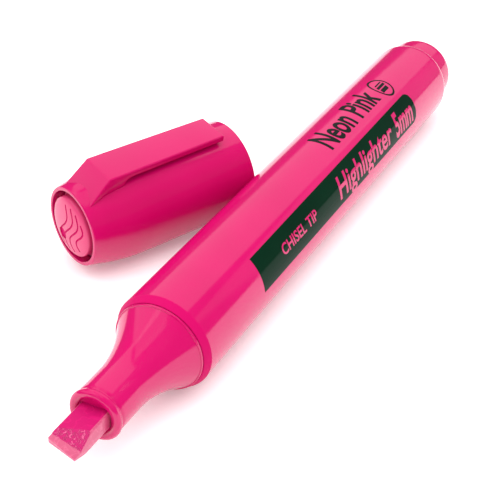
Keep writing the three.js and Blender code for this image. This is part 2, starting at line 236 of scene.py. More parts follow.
def use(piece, finish, body, slot, *nodes):
    """Gives a piece its finish, its body and the solids it stands for. The record's slot is not used.
    """
    piece.data.materials.clear()
    piece.data.materials.append(finish)
    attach(piece, body)
    if nodes:
        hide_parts(*nodes)
    print(piece.name, len(piece.data.polygons), "faces, on", body)


# %% Helpers: rounded profiles and turned pieces
NEARLY_HALF = 0.49


def rounded(corners, steps=4):
    """Turns (station, radius, round) corners into a profile whose corners are rounded off."""
    points = [Vector((c[0], c[1])) for c in corners]
    rounds = [c[2] if len(c) > 2 else 0 for c in corners]
    out = []
    for i, (point, size) in enumerate(zip(points, rounds)):
        if size == 0 or i in (0, len(points) - 1):
            out.append(point)
            continue
        before = points[i - 1] - point
        after = points[i + 1] - point
        start = point + before.normalized() * min(size, before.length * NEARLY_HALF)
        end = point + after.normalized() * min(size, after.length * NEARLY_HALF)
        for k in range(steps + 1):
            t = k / steps
            out.append(start * (1 - t) ** 2 + point * 2 * t * (1 - t) + end * t * t)
    return out


def turned(name, axis, profile, steps=128):
    """Spins a profile of (station, radius) points about an axis, as on a lathe."""
    points = [axis @ Vector((p[0], 0, p[1])) for p in profile]
    piece = start_at(name, points[0])
    run_along(points)
    bpy.ops.mesh.select_all(action="SELECT")
    along = (axis.to_3x3() @ Vector((1, 0, 0))).normalized()
    bpy.ops.mesh.spin(steps=steps, angle=2 * math.pi, center=axis.translation, axis=along)
    return close_work(piece)


def cut_away(piece, cutter):
    """Cuts one closed piece out of another, then throws the cutter away."""
    take(piece)
    cut = piece.modifiers.new("cut", "BOOLEAN")
    cut.operation = "DIFFERENCE"
    cut.object = cutter
    cut.solver = "EXACT"
    bpy.ops.object.modifier_apply(modifier="cut")
    take(cutter)
    bpy.ops.object.delete()


print("helpers ready")

# %% [markdown]
# ## Finishes
# All the outside is one fluorescent plastic. Close up it isn't one flat pink: the moulding leaves a
# faint drift of colour along the flow, a very fine grain, and hairline scuffs where it is handled.
# Each of these effects is a node group with named inputs, built once and used in several materials
# with its own values. The groups give only colours, masks and heights; the shader stays outside.


# %% Node group helpers
def new_group(name, inputs, outputs):
    """A shader node group with (label, kind, value) inputs and (label, kind) outputs."""
    group = bpy.data.node_groups.new(name, "ShaderNodeTree")
    for label, kind, value in inputs:
        socket = group.interface.new_socket(label, in_out="INPUT", socket_type=kind)
        socket.default_value = value
    for label, kind in outputs:
        group.interface.new_socket(label, in_out="OUTPUT", socket_type=kind)
    return group, group.nodes.new("NodeGroupInput"), group.nodes.new("NodeGroupOutput")


def node(tree, kind, **settings):
    """A new node; each setting is one of its properties or, if it has none so named, an input."""
    made = tree.nodes.new("ShaderNode" + kind)
    for key, value in settings.items():
        if hasattr(made, key):
            setattr(made, key, value)
        else:
            made.inputs[key.replace("_", " ")].default_value = value
    return made


FLOAT, COLOR, VECTOR = "NodeSocketFloat", "NodeSocketColor", "NodeSocketVector"


# %% Group: the drift of colour that the moulding leaves
def build_colour_drift():
    tree, given, result = new_group(
        "colour_drift",
        [("Vector", VECTOR, (0, 0, 0)), ("Color A", COLOR, (1, 1, 1, 1)),
         ("Color B", COLOR, (0, 0, 0, 1)), ("Scale", FLOAT, 60.0)],
        [("Color", COLOR)],
    )
    noise = node(tree, "TexNoise", Detail=3.0, Roughness=0.55)
    spread = node(tree, "MapRange", From_Min=0.35, From_Max=0.65)
    mix = node(tree, "Mix", data_type="RGBA")
    link = tree.links.new
    link(given.outputs["Vector"], noise.inputs["Vector"])
    link(given.outputs["Scale"], noise.inputs["Scale"])
    link(noise.outputs["Fac"], spread.inputs["Value"])
    link(spread.outputs["Result"], mix.inputs["Factor"])
    link(given.outputs["Color A"], mix.inputs["A"])
    link(given.outputs["Color B"], mix.inputs["B"])
    link(mix.outputs["Result"], result.inputs["Color"])
    return tree


# %% Group: fine grain and hairline scuffs
def build_handling_marks():
    tree, given, result = new_group(
        "handling_marks",
        [("Vector", VECTOR, (0, 0, 0)), ("Grain Scale", FLOAT, 2200.0),
         ("Scuff Scale", FLOAT, 260.0), ("Roughness", FLOAT, 0.2), ("Spread", FLOAT, 0.1)],
        [("Roughness", FLOAT), ("Height", FLOAT)],
    )
    grain = node(tree, "TexNoise", Detail=4.0, Roughness=0.6)
    stretch = node(tree, "Mapping", Rotation=(0.3, 0.5, 0.8), Scale=(0.12, 1.0, 1.0))
    scuff = node(tree, "TexNoise", Detail=6.0, Roughness=0.75, Distortion=0.4)
    thin = node(tree, "MapRange", From_Min=0.60, From_Max=0.72)
    patch = node(tree, "TexNoise", Scale=35.0, Detail=2.0)
    where = node(tree, "MapRange", From_Min=0.45, From_Max=0.65)
    both = node(tree, "Math", operation="MULTIPLY")
    rougher = node(tree, "Math", operation="MULTIPLY_ADD")
    height = node(tree, "Math", operation="MULTIPLY_ADD")
    height.inputs[1].default_value = -0.4
    link = tree.links.new
    for target in (grain, stretch, patch):
        link(given.outputs["Vector"], target.inputs["Vector"])
    link(given.outputs["Grain Scale"], grain.inputs["Scale"])
    link(stretch.outputs["Vector"], scuff.inputs["Vector"])
    link(given.outputs["Scuff Scale"], scuff.inputs["Scale"])
    link(scuff.outputs["Fac"], thin.inputs["Value"])
    link(patch.outputs["Fac"], where.inputs["Value"])
    link(thin.outputs["Result"], both.inputs[0])
    link(where.outputs["Result"], both.inputs[1])
    link(both.outputs["Value"], rougher.inputs[0])
    link(given.outputs["Spread"], rougher.inputs[1])
    link(given.outputs["Roughness"], rougher.inputs[2])
    link(both.outputs["Value"], height.inputs[0])
    link(grain.outputs["Fac"], height.inputs[2])
    link(rougher.outputs["Value"], result.inputs["Roughness"])
    link(height.outputs["Value"], result.inputs["Height"])
    return tree


# %% Group: bonded fibres, seen end on or from the side
def build_fibre_grain():
    tree, given, result = new_group(
        "fibre_grain",
        [("Vector", VECTOR, (0, 0, 0)), ("Fibre Scale", FLOAT, 3000.0),
         ("Length Squash", FLOAT, 0.1), ("Blotch Scale", FLOAT, 900.0)],
        [("Mask", FLOAT), ("Height", FLOAT)],
    )
    squash = node(tree, "CombineXYZ", Y=1.0, Z=1.0)
    stretched = node(tree, "VectorMath", operation="MULTIPLY")
    fibre = node(tree, "TexNoise", Detail=5.0, Roughness=0.6)
    blotch = node(tree, "TexNoise", Detail=1.5, Roughness=0.4, Distortion=0.6)
    fold = node(tree, "Math", operation="SUBTRACT")
    fold.inputs[1].default_value = 0.5
    ridge = node(tree, "Math", operation="ABSOLUTE")
    curl = node(tree, "MapRange", From_Min=0.055, From_Max=0.0)
    blend = node(tree, "Math", operation="MULTIPLY_ADD")
    blend.inputs[1].default_value = 0.35
    spread = node(tree, "MapRange", From_Min=0.25, From_Max=1.0)
    link = tree.links.new
    link(given.outputs["Length Squash"], squash.inputs["X"])
    link(given.outputs["Vector"], stretched.inputs[0])
    link(squash.outputs["Vector"], stretched.inputs[1])
    link(stretched.outputs["Vector"], fibre.inputs["Vector"])
    link(given.outputs["Fibre Scale"], fibre.inputs["Scale"])
    link(given.outputs["Vector"], blotch.inputs["Vector"])
    link(given.outputs["Blotch Scale"], blotch.inputs["Scale"])
    link(blotch.outputs["Fac"], fold.inputs[0])
    link(fold.outputs["Value"], ridge.inputs[0])
    link(ridge.outputs["Value"], curl.inputs["Value"])
    link(fibre.outputs["Fac"], blend.inputs[0])
    link(curl.outputs["Result"], blend.inputs[2])
    link(blend.outputs["Value"], spread.inputs["Value"])
    link(spread.outputs["Result"], result.inputs["Mask"])
    link(blend.outputs["Value"], result.inputs["Height"])
    return tree


colour_drift = build_colour_drift()
handling_marks = build_handling_marks()
fibre_grain = build_fibre_grain()
print("node groups", [g.name for g in bpy.data.node_groups])


# %% Helpers: materials
def new_material(name):
    """A material with its shader, and the place on the piece that its patterns read."""
    material = bpy.data.materials.new(name)
    material.use_nodes = True
    tree = material.node_tree
    shader = tree.nodes["Principled BSDF"]
    place = node(tree, "TexCoord")
    return material, tree, shader, place.outputs["Object"]


def add_group(tree, group, place, **values):
    """Puts a node group in a material with its own values."""
    made = tree.nodes.new("ShaderNodeGroup")
    made.node_tree = group
    tree.links.new(place, made.inputs["Vector"])
    for key, value in values.items():
        made.inputs[key.replace("_", " ")].default_value = value
    return made


def add_bump(tree, shader, height, strength, distance):
    """Lets a height that changes over the surface tilt the shading."""
    bump = node(tree, "Bump", Strength=strength, Distance=distance)
    tree.links.new(height, bump.inputs["Height"])
    tree.links.new(bump.outputs["Normal"], shader.inputs["Normal"])


def moulded_plastic(name, deep, bright, roughness, spread, ior=1.5, level=0.5, bump=0.05):
    """Glossy moulded plastic with colour drift, fine grain and hairline scuffs."""
    material, tree, shader, place = new_material(name)
    drift = add_group(tree, colour_drift, place, Color_A=(*deep, 1), Color_B=(*bright, 1),
                      Scale=55.0)
    marks = add_group(tree, handling_marks, place, Roughness=roughness, Spread=spread)
    tree.links.new(drift.outputs["Color"], shader.inputs["Base Color"])
    tree.links.new(marks.outputs["Roughness"], shader.inputs["Roughness"])
    add_bump(tree, shader, marks.outputs["Height"], bump, 0.00004)
    shader.inputs["IOR"].default_value = ior
    shader.inputs["Specular IOR Level"].default_value = level
    return material


def bonded_fibre(name, wet, dry, roughness, squash, fibre_scale, blotch_scale, bump, level):
    """Ink-soaked fibre: dark where the ink pools, paler on the raised ends."""
    material, tree, shader, place = new_material(name)
    grain = add_group(tree, fibre_grain, place, Fibre_Scale=fibre_scale, Length_Squash=squash,
                      Blotch_Scale=blotch_scale)
    mix = node(tree, "Mix", data_type="RGBA")
    mix.inputs["A"].default_value = (*wet, 1)
    mix.inputs["B"].default_value = (*dry, 1)
    tree.links.new(grain.outputs["Mask"], mix.inputs["Factor"])
    tree.links.new(mix.outputs["Result"], shader.inputs["Base Color"])
    add_bump(tree, shader, grain.outputs["Height"], bump, 0.00015)
    shader.inputs["Roughness"].default_value = roughness
    shader.inputs["Specular IOR Level"].default_value = level
    return material


# %% Materials
fluorescent_plastic = moulded_plastic(
    "fluorescent_plastic", (0.53, 0.0018, 0.106), (0.565, 0.0025, 0.116), 0.12, 0.22, ior=1.52)
satin_plastic = moulded_plastic(
    "satin_plastic", (0.60, 0.03, 0.14), (0.65, 0.042, 0.162), 0.34, 0.2)
turned_plastic = moulded_plastic(
    "turned_plastic", (0.52, 0.0015, 0.103), (0.55, 0.002, 0.112), 0.5, 0.1, level=0.06)
band_ink = moulded_plastic(
    "band_ink", (0.0006, 0.015, 0.006), (0.0010, 0.019, 0.008), 0.09, 0.2, level=0.06)
line_ink = moulded_plastic(
    "line_ink", (0.004, 0.006, 0.005), (0.006, 0.009, 0.007), 0.2, 0.2, level=0.08)
# The nib fibre comes as a darker copy with painted shade for its top and a paler copy with painted
# sheen for its sides and land.
wet_fibre_painted_shade = bonded_fibre(
    "wet_fibre_painted_shade", (0.50, 0.002, 0.115), (0.56, 0.004, 0.13), 0.55, 0.12, 2600.0, 500.0, 0.25, 0.15)
cut_fibre = bonded_fibre(
    "cut_fibre", (0.52, 0.002, 0.125), (0.90, 0.13, 0.32), 0.5, 0.8, 2400.0, 1900.0, 0.9, 0.4)
pressed_fibre_painted_sheen = bonded_fibre(
    "pressed_fibre_painted_sheen", (0.56, 0.065, 0.165), (0.62, 0.095, 0.205), 0.33, 0.5, 2600.0, 900.0, 0.15, 0.8)
bundle_fibre = bonded_fibre(
    "bundle_fibre", (0.55, 0.01, 0.12), (0.82, 0.10, 0.28), 0.9, 0.05, 2500.0, 600.0, 0.8, 0.3)
reservoir_wrap = moulded_plastic(
    "reservoir_wrap", (0.86, 0.50, 0.60), (0.90, 0.62, 0.70), 0.12, 0.2)
print("materials", [m.name for m in bpy.data.materials])

# %% [markdown]
# ## Barrel
# The barrel is an extruded tube with a turned-down collar in front and a soft shoulder behind.
# A cylinder primitive would need its ends cut and rounded afterwards; spinning one profile gives
# the bore, the collar's cone and both edges in a single closed skin. The collar's cone mirrors
# less than the polished tube, so its faces get the matt finish.

# %% Barrel
FRONT, REAR = 26.6, 131.8
COLLAR_END, COLLAR_R, BARREL_BORE = 27.85, 7.9, 7.2
barrel_profile = rounded([
    (60, BARREL_BORE), (FRONT, BARREL_BORE, 0.1), (FRONT, COLLAR_R, 0.1), (COLLAR_END, BARREL_R, 0.1),
    (REAR - 1.3, BARREL_R, 1.1), (REAR, 7.55, 0.35), (REAR, 6.1, 0.1), (125.5, 6.1),
    (124.4, BARREL_BORE), (60, BARREL_BORE),
])
barrel = turned("barrel_tube", PEN, barrel_profile)
smooth(barrel)
use(barrel, fluorescent_plastic, "pen", "pink_gloss", "barrel")
barrel.data.materials.append(turned_plastic)
for face in barrel.data.polygons:
    at = PEN.inverted() @ face.center
    if at.x < COLLAR_END + 0.05 and math.hypot(at.y, at.z) > COLLAR_R - 0.3:
        face.material_index = 1
print("collar faces", sum(f.material_index for f in barrel.data.polygons))

# %% [markdown]
# ## Front section
# The front section is one moulding: a flange that sits on the collar, a trumpet-shaped flare, a
# straight neck and a rolled lip round the nib. Its curve is what makes the pen recognisable, so
# the flare is sampled finely along the same trumpet curve as the solid. It could be lofted from
# rings, but a turned profile keeps the lip, the flare and the bore in step.

# %% Front section
FLARE_START, FLARE_END, NECK_R, FLARE_R = 15.0, 26.1, 4.18, 7.55
FLARE_STEPS = 24
flare = []
for i in range(FLARE_STEPS + 1):
    share = i / FLARE_STEPS
    flare.append((FLARE_START + (FLARE_END - FLARE_START) * share,
                  NECK_R + (FLARE_R - NECK_R) * share ** 2))
lip = rounded([
    (18.3, 3.06), (9.5, 3.06, 0.1), (9.1, 2.95, 0.2), (8.6, 2.98, 0.25), (8.3, 3.4, 0.4),
    (8.32, 4.0, 0.45), (8.75, 4.4, 0.45), (9.35, 4.34, 0.3), (9.62, 4.08, 0.1), (9.85, 4.04, 0.1),
    (10.2, NECK_R, 0.3), (FLARE_START, NECK_R),
])
plug = rounded([
    (FLARE_END, FLARE_R), (FLARE_END, 7.72, 0.05), (FLARE_END + 0.12, 7.78, 0.06),
    (26.5, 7.78, 0.08), (26.5, 6.95), (36, 6.95), (36, 5.6), (26.5, 5.6), (18.3, 3.06),
])
nose = turned("front_section", PEN, lip + [Vector(p) for p in flare[1:]] + plug[1:])
smooth(nose, 25)
use(nose, fluorescent_plastic, "pen", "pink_gloss", "nose_section")

# %% [markdown]
# ## Tail plug
# A short plug closes the barrel. Its head is a little narrower than the barrel and well rounded,
# and its hollow stem is pressed into the bore. A capped cylinder with a bevel would do for the
# head, but one profile also gives the stem, and its large round takes more steps than the rest.

# %% Tail plug
TAIL_FRONT, TAIL_END, TAIL_R = REAR + 0.12, 138.3, 7.15
STEM_FRONT, STEM_R = 125.8, 5.8
tail = turned("tail_cap", PEN, rounded([
    (TAIL_END - 1.4, 0), (TAIL_END - 1.4, 4.4), (STEM_FRONT, 4.4), (STEM_FRONT, STEM_R),
    (TAIL_FRONT, STEM_R), (TAIL_FRONT, TAIL_R, 0.12), (TAIL_END, TAIL_R, 2.3), (TAIL_END, 0),
], steps=8))
smooth(tail)
use(tail, fluorescent_plastic, "pen", "pink_gloss", "tail_plug")

# %% [markdown]
# ## Nib
# The nib is a slab of bonded fibre, pressed with rounded long edges and then cut by blades. It is
# made the same way here: a block gets its long edges bevelled, and four flat cuts leave the
# slanted writing end, with one corner leading. Each cut is given by three points on it, so the
# slab keeps its true section wherever no blade has touched it. The two upper cuts meet in a hollow
# corner, which a single blade can't leave, so a block cut by both is taken out as one notch.

# %% Nib slab
NIB_LENGTH, NIB_WIDE, NIB_THICK, LONG_EDGE_ROUND = 44.6, 5.0, 3.1, 0.55
deselect()
bpy.ops.mesh.primitive_cube_add(size=1, location=PEN @ Vector((NIB_LENGTH / 2, 0, 0)),
                                scale=(NIB_LENGTH * MM, NIB_WIDE * MM, NIB_THICK * MM))
nib = bpy.context.object
nib.name = "chisel_nib"
bpy.ops.object.transform_apply(location=True, rotation=True, scale=True)


def pick(piece, kind, test):
    """In edit mode, selects the edges or faces of a piece that pass a test."""
    bpy.ops.mesh.select_mode(type=kind)
    bpy.ops.mesh.select_all(action="DESELECT")
    mesh = bmesh.from_edit_mesh(piece.data)
    for element in (mesh.edges if kind == "EDGE" else mesh.faces):
        element.select_set(bool(test(element)))
    mesh.select_flush_mode()
    bmesh.update_edit_mesh(piece.data)


def runs_along_x(edge):
    """Edges along the nib."""
    return abs((edge.verts[0].co - edge.verts[1].co).normalized().x) > 0.99


bpy.ops.object.mode_set(mode="EDIT")
pick(nib, "EDGE", runs_along_x)
bpy.ops.mesh.bevel(offset=LONG_EDGE_ROUND * MM, segments=6, affect="EDGES")
print("nib slab", [round(v / MM, 2) for v in nib.dimensions])


# %% Nib cuts
def blade(piece, a, b, c, keep):
    """One flat cut through three points; the side that doesn't hold the point to keep goes."""
    a, b, c, keep = (PEN @ Vector(point) for point in (a, b, c, keep))
    normal = (b - a).cross(c - a).normalized()
    if normal.dot(keep - a) > 0:
        normal = -normal
    take(piece)
    bpy.ops.object.mode_set(mode="EDIT")
    bpy.ops.mesh.select_mode(type="VERT")
    bpy.ops.mesh.select_all(action="SELECT")
    bpy.ops.mesh.bisect(plane_co=a, plane_no=normal, use_fill=True, clear_outer=True)
    bpy.ops.object.mode_set(mode="OBJECT")
    return normal


BODY = (20, 0, 0)
LAND = ((0, -2.5, -0.15), (1.6, -2.5, -0.07), (1.0, 2.5, 1.02))
SLANT = ((1.6, -2.5, -0.07), (4.56, -2.5, 1.55), (1.9, 2.5, 1.08))
end_cut = blade(nib, (0, -2.5, -1), (1.0, 2.5, -1), (0, -2.5, 1), BODY)
under_cut = blade(nib, (0, -2.5, -0.45), (1.0, 2.5, 0.09), (3.89, -2.5, -1.55), BODY)
deselect()
bpy.ops.mesh.primitive_cube_add(size=20 * MM, location=PEN @ Vector((0, 0, 8)))
notch = bpy.context.object
notch.name = "nib_notch"
bpy.ops.object.transform_apply(location=True, rotation=True, scale=True)
land_cut = -blade(notch, *LAND, (0, 0, 9))
slant_cut = -blade(notch, *SLANT, (0, 0, 9))
cut_away(nib, notch)
print("cut normals", [[round(v, 2) for v in n] for n in (end_cut, land_cut, slant_cut, under_cut)])

# %% Nib: soften the edges of the writing end
WRITING_END, EDGE_SOFT, SLIVER = 7.2, 0.07, 0.012


def sharp_at_writing_end(edge):
    """Edges that stand out by more than half a radian, on the part that touches paper."""
    reach = max((PEN.inverted() @ v.co).x for v in edge.verts)
    return len(edge.link_faces) == 2 and edge.calc_face_angle_signed(0) > 0.5 and reach < WRITING_END


take(nib)
bpy.ops.object.mode_set(mode="EDIT")
pick(nib, "EDGE", sharp_at_writing_end)
bpy.ops.mesh.bevel(offset=EDGE_SOFT * MM, segments=2, affect="EDGES", clamp_overlap=True)
bpy.ops.mesh.select_all(action="SELECT")
bpy.ops.mesh.dissolve_degenerate(threshold=SLIVER * MM)
print("nib with soft edges", len(bmesh.from_edit_mesh(nib.data).faces), "faces")

# %% [markdown]
# A blade tears the fibres of the slanted cut, so it is the one rough face. A bump in the material
# would look flat from the side. Instead the face is cut into a fine grid, and the grid's inner
# points are moved a little at random, always with the same seed. The slanted faces are noted before
# that, because afterwards their normals no longer tell them apart.

# %% Nib: roughen the slanted cut and give the three finishes
GRID_STEP, TORN, LAND_END = 0.21, 0.05, 2.4
SLANT_AREA = 0.2e-6


def on_slant(face, least_area=0.0):
    """Faces of the slanted cut, down to a least area in square metres."""
    return face.normal.dot(slant_cut) > 0.995 and face.calc_area() > least_area


for direction, first, last in (((1, 0, 0), 1.3, 4.7), ((0, 1, 0), -2.4, 2.4)):
    line = first
    while line < last:
        pick(nib, "FACE", lambda face: on_slant(face, SLANT_AREA))
        at = PEN @ Vector((line, line, 0))
        bpy.ops.mesh.bisect(plane_co=at, plane_no=direction)
        line += GRID_STEP

pick(nib, "FACE", on_slant)
slant_faces = {f.index for f in bmesh.from_edit_mesh(nib.data).faces if f.select}
bpy.ops.mesh.select_less()
bpy.ops.mesh.select_mode(type="VERT")
bpy.ops.transform.vertex_random(offset=TORN * MM, uniform=0.0, normal=0.0, seed=4)
bpy.ops.object.mode_set(mode="OBJECT")
use(nib, wet_fibre_painted_shade, "pen", "nib_fibre", "nib")
nib.data.materials.append(cut_fibre)
nib.data.materials.append(pressed_fibre_painted_sheen)
# Painted light by face direction: the top takes the darker fibre, painted shade under the lip; the
# sides and the front land take the paler pressed skin with painted sheen.
for face in nib.data.polygons:
    at_front = (PEN.inverted() @ face.center).x < LAND_END
    if face.index in slant_faces:
        face.material_index = 1
    elif abs(face.normal.y) > 0.45 or at_front and face.normal.z > -0.5:
        face.material_index = 2
smooth(nib, 30)
print("nib cut faces", sum(f.material_index == 1 for f in nib.data.polygons))

# %% [markdown]
# ## Nib seat
# Just inside the lip a web of plastic grips the nib, so no dark hole shows round it. It could be
# drawn as a ring with a square hole, but a turned disc with the nib's own section cut out of it
# follows the nib's rounded edges with an even gap. It lies in shade and gets the matt finish.

# %% Nib seat
SEAT_FRONT, SEAT_REAR, SEAT_R, SEAT_GAP = 8.95, 10.4, 3.0, 0.08
SLOT_MIDDLE, SLOT_LENGTH, SLOT_ROUND = 10, 6, 0.6
seat = turned("nib_seat", PEN, rounded([
    (SEAT_REAR, 0), (SEAT_REAR, SEAT_R), (SEAT_FRONT, SEAT_R, 0.1), (SEAT_FRONT, 0),
]), 64)
slot_size = Vector((SLOT_LENGTH, NIB_WIDE + 2 * SEAT_GAP, NIB_THICK + 2 * SEAT_GAP)) * MM
deselect()
bpy.ops.mesh.primitive_cube_add(size=1, location=PEN @ Vector((SLOT_MIDDLE, 0, 0)), scale=slot_size)
slot = bpy.context.object
bpy.ops.object.mode_set(mode="EDIT")
pick(slot, "EDGE", runs_along_x)
bpy.ops.mesh.bevel(offset=SLOT_ROUND * MM, segments=5, affect="EDGES")
bpy.ops.object.mode_set(mode="OBJECT")
bpy.ops.object.transform_apply(location=True, rotation=True, scale=True)
cut_away(seat, slot)
smooth(seat)
use(seat, turned_plastic, "pen", "pink_gloss")

# %% [markdown]
# ## Reservoir
# Inside the barrel a bundle of soft fibre in a thin wrap holds the ink. Both are simple and already
# the right shape, so their solids could be drawn again with nothing gained. They stay, and only
# take a better finish.

# %% Reservoir finishes
for name, finish in (("reservoir_core", bundle_fibre), ("reservoir_film", reservoir_wrap)):
    kept = frame["nodes"][name]
    kept.data.materials.clear()
    kept.data.materials.append(finish)
    print(name, "keeps its solid, finish", finish.name)

# %% [markdown]
# ## Cap shell
# The cap is a thin bullet-shaped cup, open at the mouth, with a flat ring round its closed end. A
# cone and a cylinder would meet in a crease where the taper begins. Here the taper is a quarter of
# a sine wave, which runs into the straight part without one, and the inside follows it at the
# thickness of the wall.

# %% Cap shell
RIM_R, RIM_BORE, CAP_BORE, TAPER, TAPER_STEPS = 7.4, 6.7, 8.1, 11.0, 16
CAP_WALL = CAP_R - CAP_BORE
taper = []
for i in range(TAPER_STEPS + 1):
    swell = math.sin(math.pi / 2 * i / TAPER_STEPS)
    taper.append((TAPER * i / TAPER_STEPS, RIM_R + (CAP_R - RIM_R) * swell))
outside = rounded([(0.9, RIM_BORE), (0, RIM_BORE, 0.12), (0, RIM_R, 0.22)] + taper[2:3], 3)
inside = [(s, r - CAP_WALL) for s, r in taper if s > 4.9]
cap_profile = (
    outside[:-1] + [Vector(p) for p in taper[2:]]
    + rounded([(TAPER, CAP_R), (CAP_LENGTH, CAP_R, 0.2), (CAP_LENGTH, CAP_BORE, 0.2),
               (TAPER, CAP_BORE)], 3)[1:]
    + [Vector(p) for p in reversed(inside)]
    + [Vector((4, RIM_BORE)), Vector((0.9, RIM_BORE))]
)
shell = turned("cap_body", CAP, cap_profile)
smooth(shell)
use(shell, fluorescent_plastic, "cap", "pink_gloss", "cap_shell")

# %% [markdown]
# ## Inner cap
# The domed button in the closed end is the back of the inner cap, whose cup seals round the nib.
# The dome carries four shallow wave grooves and, sunk into it, the small round mark of the point
# where the plastic was injected. A bump in the material could only hint at them, so they are cut
# into the mesh: the mark with a turned punch, and each groove with a round bar that lies along the
# dome. Their floors get the matt finish, and its deeper pink is painted shade in the recesses, so
# they read darker than the polished dome.

# %% Inner cap
DOME_RISE, DOME_R = 1.1, 5.65
dome = []
for i in range(9):
    angle = math.radians(10 * i)
    dome.append((-DOME_RISE * math.cos(angle), DOME_R * math.sin(angle)))
CUP_START, CUP_END, CUP_R, CUP_BORE = 3.4, 20.4, 5.8, 4.8
inner = turned("inner_cap_button", CAP, [Vector(p) for p in dome] + rounded([
    (-0.15, 5.6), (0.1, 5.68, 0.15), (2.2, 5.68), (2.2, 6.4), (CUP_START, 6.4), (CUP_START, CUP_R),
    (CUP_END, CUP_R, 0.2), (CUP_END, CUP_BORE, 0.2), (CUP_START, CUP_BORE), (CUP_START, 0),
]))


def dome_height(y, z):
    """Station of the dome's surface at a place across it."""
    return -DOME_RISE * math.sqrt(max(0.0, 1 - (y * y + z * z) / DOME_R ** 2))


def groove_tool(name, points, radius):
    """A round bar that follows the dome through (side, up) points, its middle just above it."""
    curve = bpy.data.curves.new(name, "CURVE")
    curve.dimensions = "3D"
    curve.bevel_depth = radius * MM
    curve.bevel_resolution = 2
    curve.use_fill_caps = True
    line = curve.splines.new("POLY")
    line.points.add(len(points) - 1)
    for point, (y, z) in zip(line.points, points):
        middle = CAP @ Vector((dome_height(y, z) - 0.02, y, z))
        point.co = (*middle, 1)
    bar = bpy.data.objects.new(name, curve)
    bpy.context.scene.collection.objects.link(bar)
    take(bar)
    bpy.ops.object.convert(target="MESH")
    return close_work(bpy.context.object)


# %% Injection mark
MARK_SIDE, MARK_UP, MARK_R, MARK_DEPTH = 1.5, -2.0, 1.15, 0.4
mark_place = Matrix.Translation((dome_height(MARK_SIDE, MARK_UP), MARK_SIDE, MARK_UP))
punch = turned("mark_punch", CAP @ mark_place, rounded([
    (-1.5, 0), (-1.5, MARK_R), (MARK_DEPTH, MARK_R, 0.2), (MARK_DEPTH, 0),
]), 32)
cut_away(inner, punch)
print("button after the mark", len(inner.data.polygons), "faces")

# %% Wave grooves
WAVES = ((-3.6, 3.0, 0.8), (-2.0, 4.2, 1.1), (-0.4, 4.6, 1.2), (1.2, 4.4, 1.1))
WAVE_STEPS, GROOVE_R = 32, 0.19
for number, (side, reach, swing) in enumerate(WAVES):
    wave = []
    for i in range(WAVE_STEPS + 1):
        t = 2 * i / WAVE_STEPS - 1
        wave.append((side + swing * math.sin(math.pi * t), -t * reach))
    cut_away(inner, groove_tool(f"wave_tool_{number + 1}", wave, GROOVE_R))
print("button after the grooves", len(inner.data.polygons), "faces")
smooth(inner)
use(inner, satin_plastic, "cap", "pink_satin", "inner_cap")
inner.data.materials.append(turned_plastic)
# Faces sunk below the dome take the matt finish's deeper pink: painted shade in the grooves and the
# mark.
DOME_FOOT, CUT_REACH, SUNK = -0.1, 5.2, 0.05
for face in inner.data.polygons:
    at = CAP.inverted() @ face.center
    on_dome = at.x < DOME_FOOT and math.hypot(at.y, at.z) < CUT_REACH
    if on_dome and at.x > dome_height(at.y, at.z) + SUNK:
        face.material_index = 1
print("cut faces in the button", sum(f.material_index for f in inner.data.polygons))

# %% [markdown]
# ## Pocket clip
# The clip is moulded in one with the cap: a ramp rises from the closed end and carries a flat
# plate over the cap with a narrow gap under it. A box for the plate and a wedge for the ramp would
# show a seam, so it is drawn as one side outline and pulled across. Then its free end is narrowed,
# the foot of the ramp is flared and the edges are rounded. It bends at its root, so the piece gets
# extra cuts there.

# %% Pocket clip
CLIP_TOP, CLIP_UNDER, CLIP_END, ROOT_HALF, END_HALF = 10.65, 9.4, 30.3, 3.7, 3.3
ROOT = 8.4
FOOT_END, FOOT_FLARE = 3, 0.1
clip_side = [(0.75, 6.3), (5.25, CLIP_TOP), (ROOT, CLIP_TOP), (16, CLIP_TOP), (CLIP_END, CLIP_TOP),
             (CLIP_END, CLIP_UNDER), (16, CLIP_UNDER), (10.2, CLIP_UNDER), (9.3, 9.2),
             (8.7, 8.8), (ROOT, 8.1), (4.5, 7.5)]
side = [CAP @ Vector((s, -ROOT_HALF, h)) for s, h in clip_side]
clip = start_at("clip_plate", side[0])
run_along(side + side[:1])
bpy.ops.mesh.select_all(action="SELECT")
bpy.ops.mesh.remove_doubles(threshold=DOUBLES)
bpy.ops.mesh.edge_face_add()
across = CAP.to_3x3() @ Vector((0, 2 * ROOT_HALF, 0))
bpy.ops.mesh.extrude_region_move(TRANSFORM_OT_translate={"value": across})
shape = bmesh.from_edit_mesh(clip.data)
to_cap = CAP.inverted() @ clip.matrix_world
from_cap = to_cap.inverted()
for v in shape.verts:
    here = to_cap @ v.co
    share = min(max((here.x - ROOT) / (CLIP_END - ROOT), 0), 1)
    foot = FOOT_FLARE if here.x < FOOT_END else 0
    here.y *= 1 + (END_HALF / ROOT_HALF - 1) * share + foot
    v.co = from_cap @ here
bmesh.update_edit_mesh(clip.data)
bpy.ops.mesh.select_all(action="SELECT")
bpy.ops.mesh.normals_make_consistent(inside=False)
bpy.ops.object.mode_set(mode="OBJECT")
print("clip outline pulled across", round(2 * ROOT_HALF, 1), "mm")

